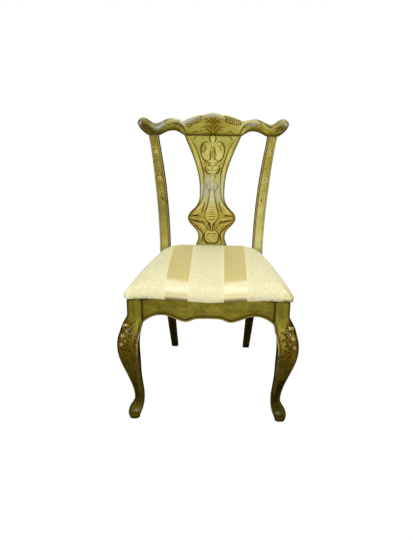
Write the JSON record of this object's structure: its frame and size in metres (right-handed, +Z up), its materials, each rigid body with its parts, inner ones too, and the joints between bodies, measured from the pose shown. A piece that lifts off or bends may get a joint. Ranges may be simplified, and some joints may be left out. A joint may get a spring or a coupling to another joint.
{
  "type": "side chair",
  "caption": "Painted side chair with cabriole front legs, carved vase splat, eared crest rail and a crowned upholstered seat.",
  "frame": {"origin": "on the floor under the middle of the chair's box", "axes": "+Z up, the front of the chair faces -Y, +X to the sitter's left when seated (viewer's right from the front)"},
  "size_m": [0.6076, 0.6054, 0.9865],
  "materials": {
    "antiqued_green_paint": "olive-green paint rubbed back at the edges, brown glaze in the carving, satin varnish",
    "bare_hardwood": "planed hardwood, unfinished",
    "dowel_birch": "turned hardwood dowel, unfinished",
    "plywood": "sanded plywood, unfinished",
    "plated_steel": "zinc-plated steel",
    "glide_nylon": "dark brown nylon, lightly worn",
    "seat_foam": "cut foam padding",
    "striped_damask": "woven stripe, ivory figured bands beside tan satin bands with fine pinstripes",
    "black_cambric": "non-woven black dust cloth"
  },
  "bodies": {
    "root": {"back_splat": "antiqued_green_paint", "corner_block_front_left": "bare_hardwood", "corner_block_front_right": "bare_hardwood", "corner_block_rear_left": "bare_hardwood", "corner_block_rear_right": "bare_hardwood", "corner_block_screws": "plated_steel", "crest_dowels": "dowel_birch", "crest_rail": "antiqued_green_paint", "dust_cover": "black_cambric", "foot_glide_front_left": "glide_nylon", "foot_glide_front_right": "glide_nylon", "foot_glide_rear_left": "glide_nylon", "foot_glide_rear_right": "glide_nylon", "front_leg_left": "antiqued_green_paint", "front_leg_right": "antiqued_green_paint", "front_rail_dowels": "dowel_birch", "front_seat_rail": "antiqued_green_paint", "rear_post_left": "antiqued_green_paint", "rear_post_right": "antiqued_green_paint", "rear_rail_dowels": "dowel_birch", "rear_seat_rail": "antiqued_green_paint", "seat_board": "plywood", "seat_cover": "striped_damask", "seat_foam": "seat_foam", "seat_screws": "plated_steel", "side_rail_front_dowels": "dowel_birch", "side_rail_rear_dowels": "dowel_birch", "side_seat_rail_left": "antiqued_green_paint", "side_seat_rail_right": "antiqued_green_paint", "splat_shoe": "antiqued_green_paint"}
  },
  "joints": []
}
